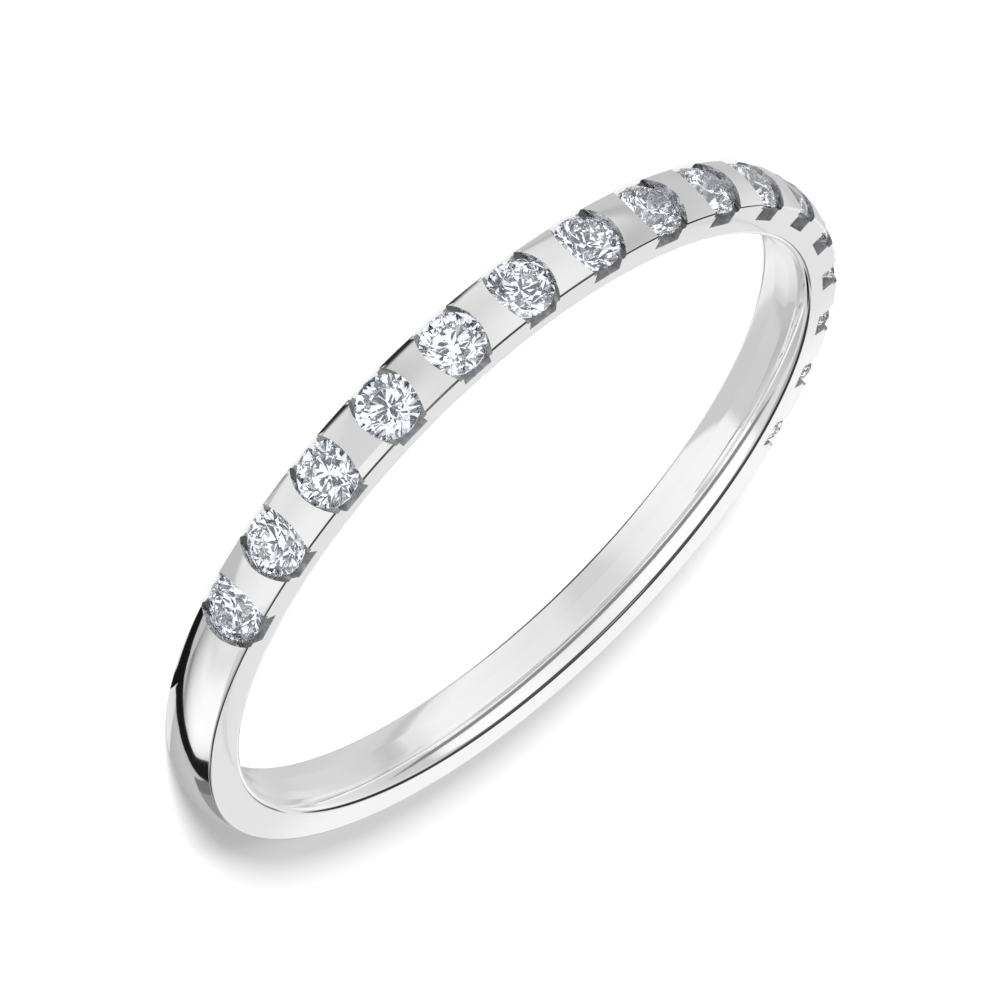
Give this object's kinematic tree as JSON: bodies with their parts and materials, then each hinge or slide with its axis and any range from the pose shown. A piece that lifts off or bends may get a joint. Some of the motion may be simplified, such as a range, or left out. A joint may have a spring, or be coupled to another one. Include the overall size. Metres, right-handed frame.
{
  "type": "half eternity ring",
  "caption": "Slim court-shaped finger ring with round brilliants bar set in a row over half its circle.",
  "frame": {"origin": "on the axis of the ring, in the plane of the flank that it lies on", "axes": "+Z along the axis of the ring, up from the flank that it lies on; +Y through the middle of the row of stones"},
  "size_m": [0.0198, 0.0198, 0.0016],
  "materials": {
    "white_gold": "high polish, rhodium white",
    "diamond": "polished facets, colourless"
  },
  "bodies": {
    "root": {"band": "white_gold", "stone_01": "diamond", "stone_02": "diamond", "stone_03": "diamond", "stone_04": "diamond", "stone_05": "diamond", "stone_06": "diamond", "stone_07": "diamond", "stone_08": "diamond", "stone_09": "diamond", "stone_10": "diamond", "stone_11": "diamond", "stone_12": "diamond", "stone_13": "diamond", "stone_14": "diamond", "stone_15": "diamond", "stone_16": "diamond"}
  },
  "joints": []
}
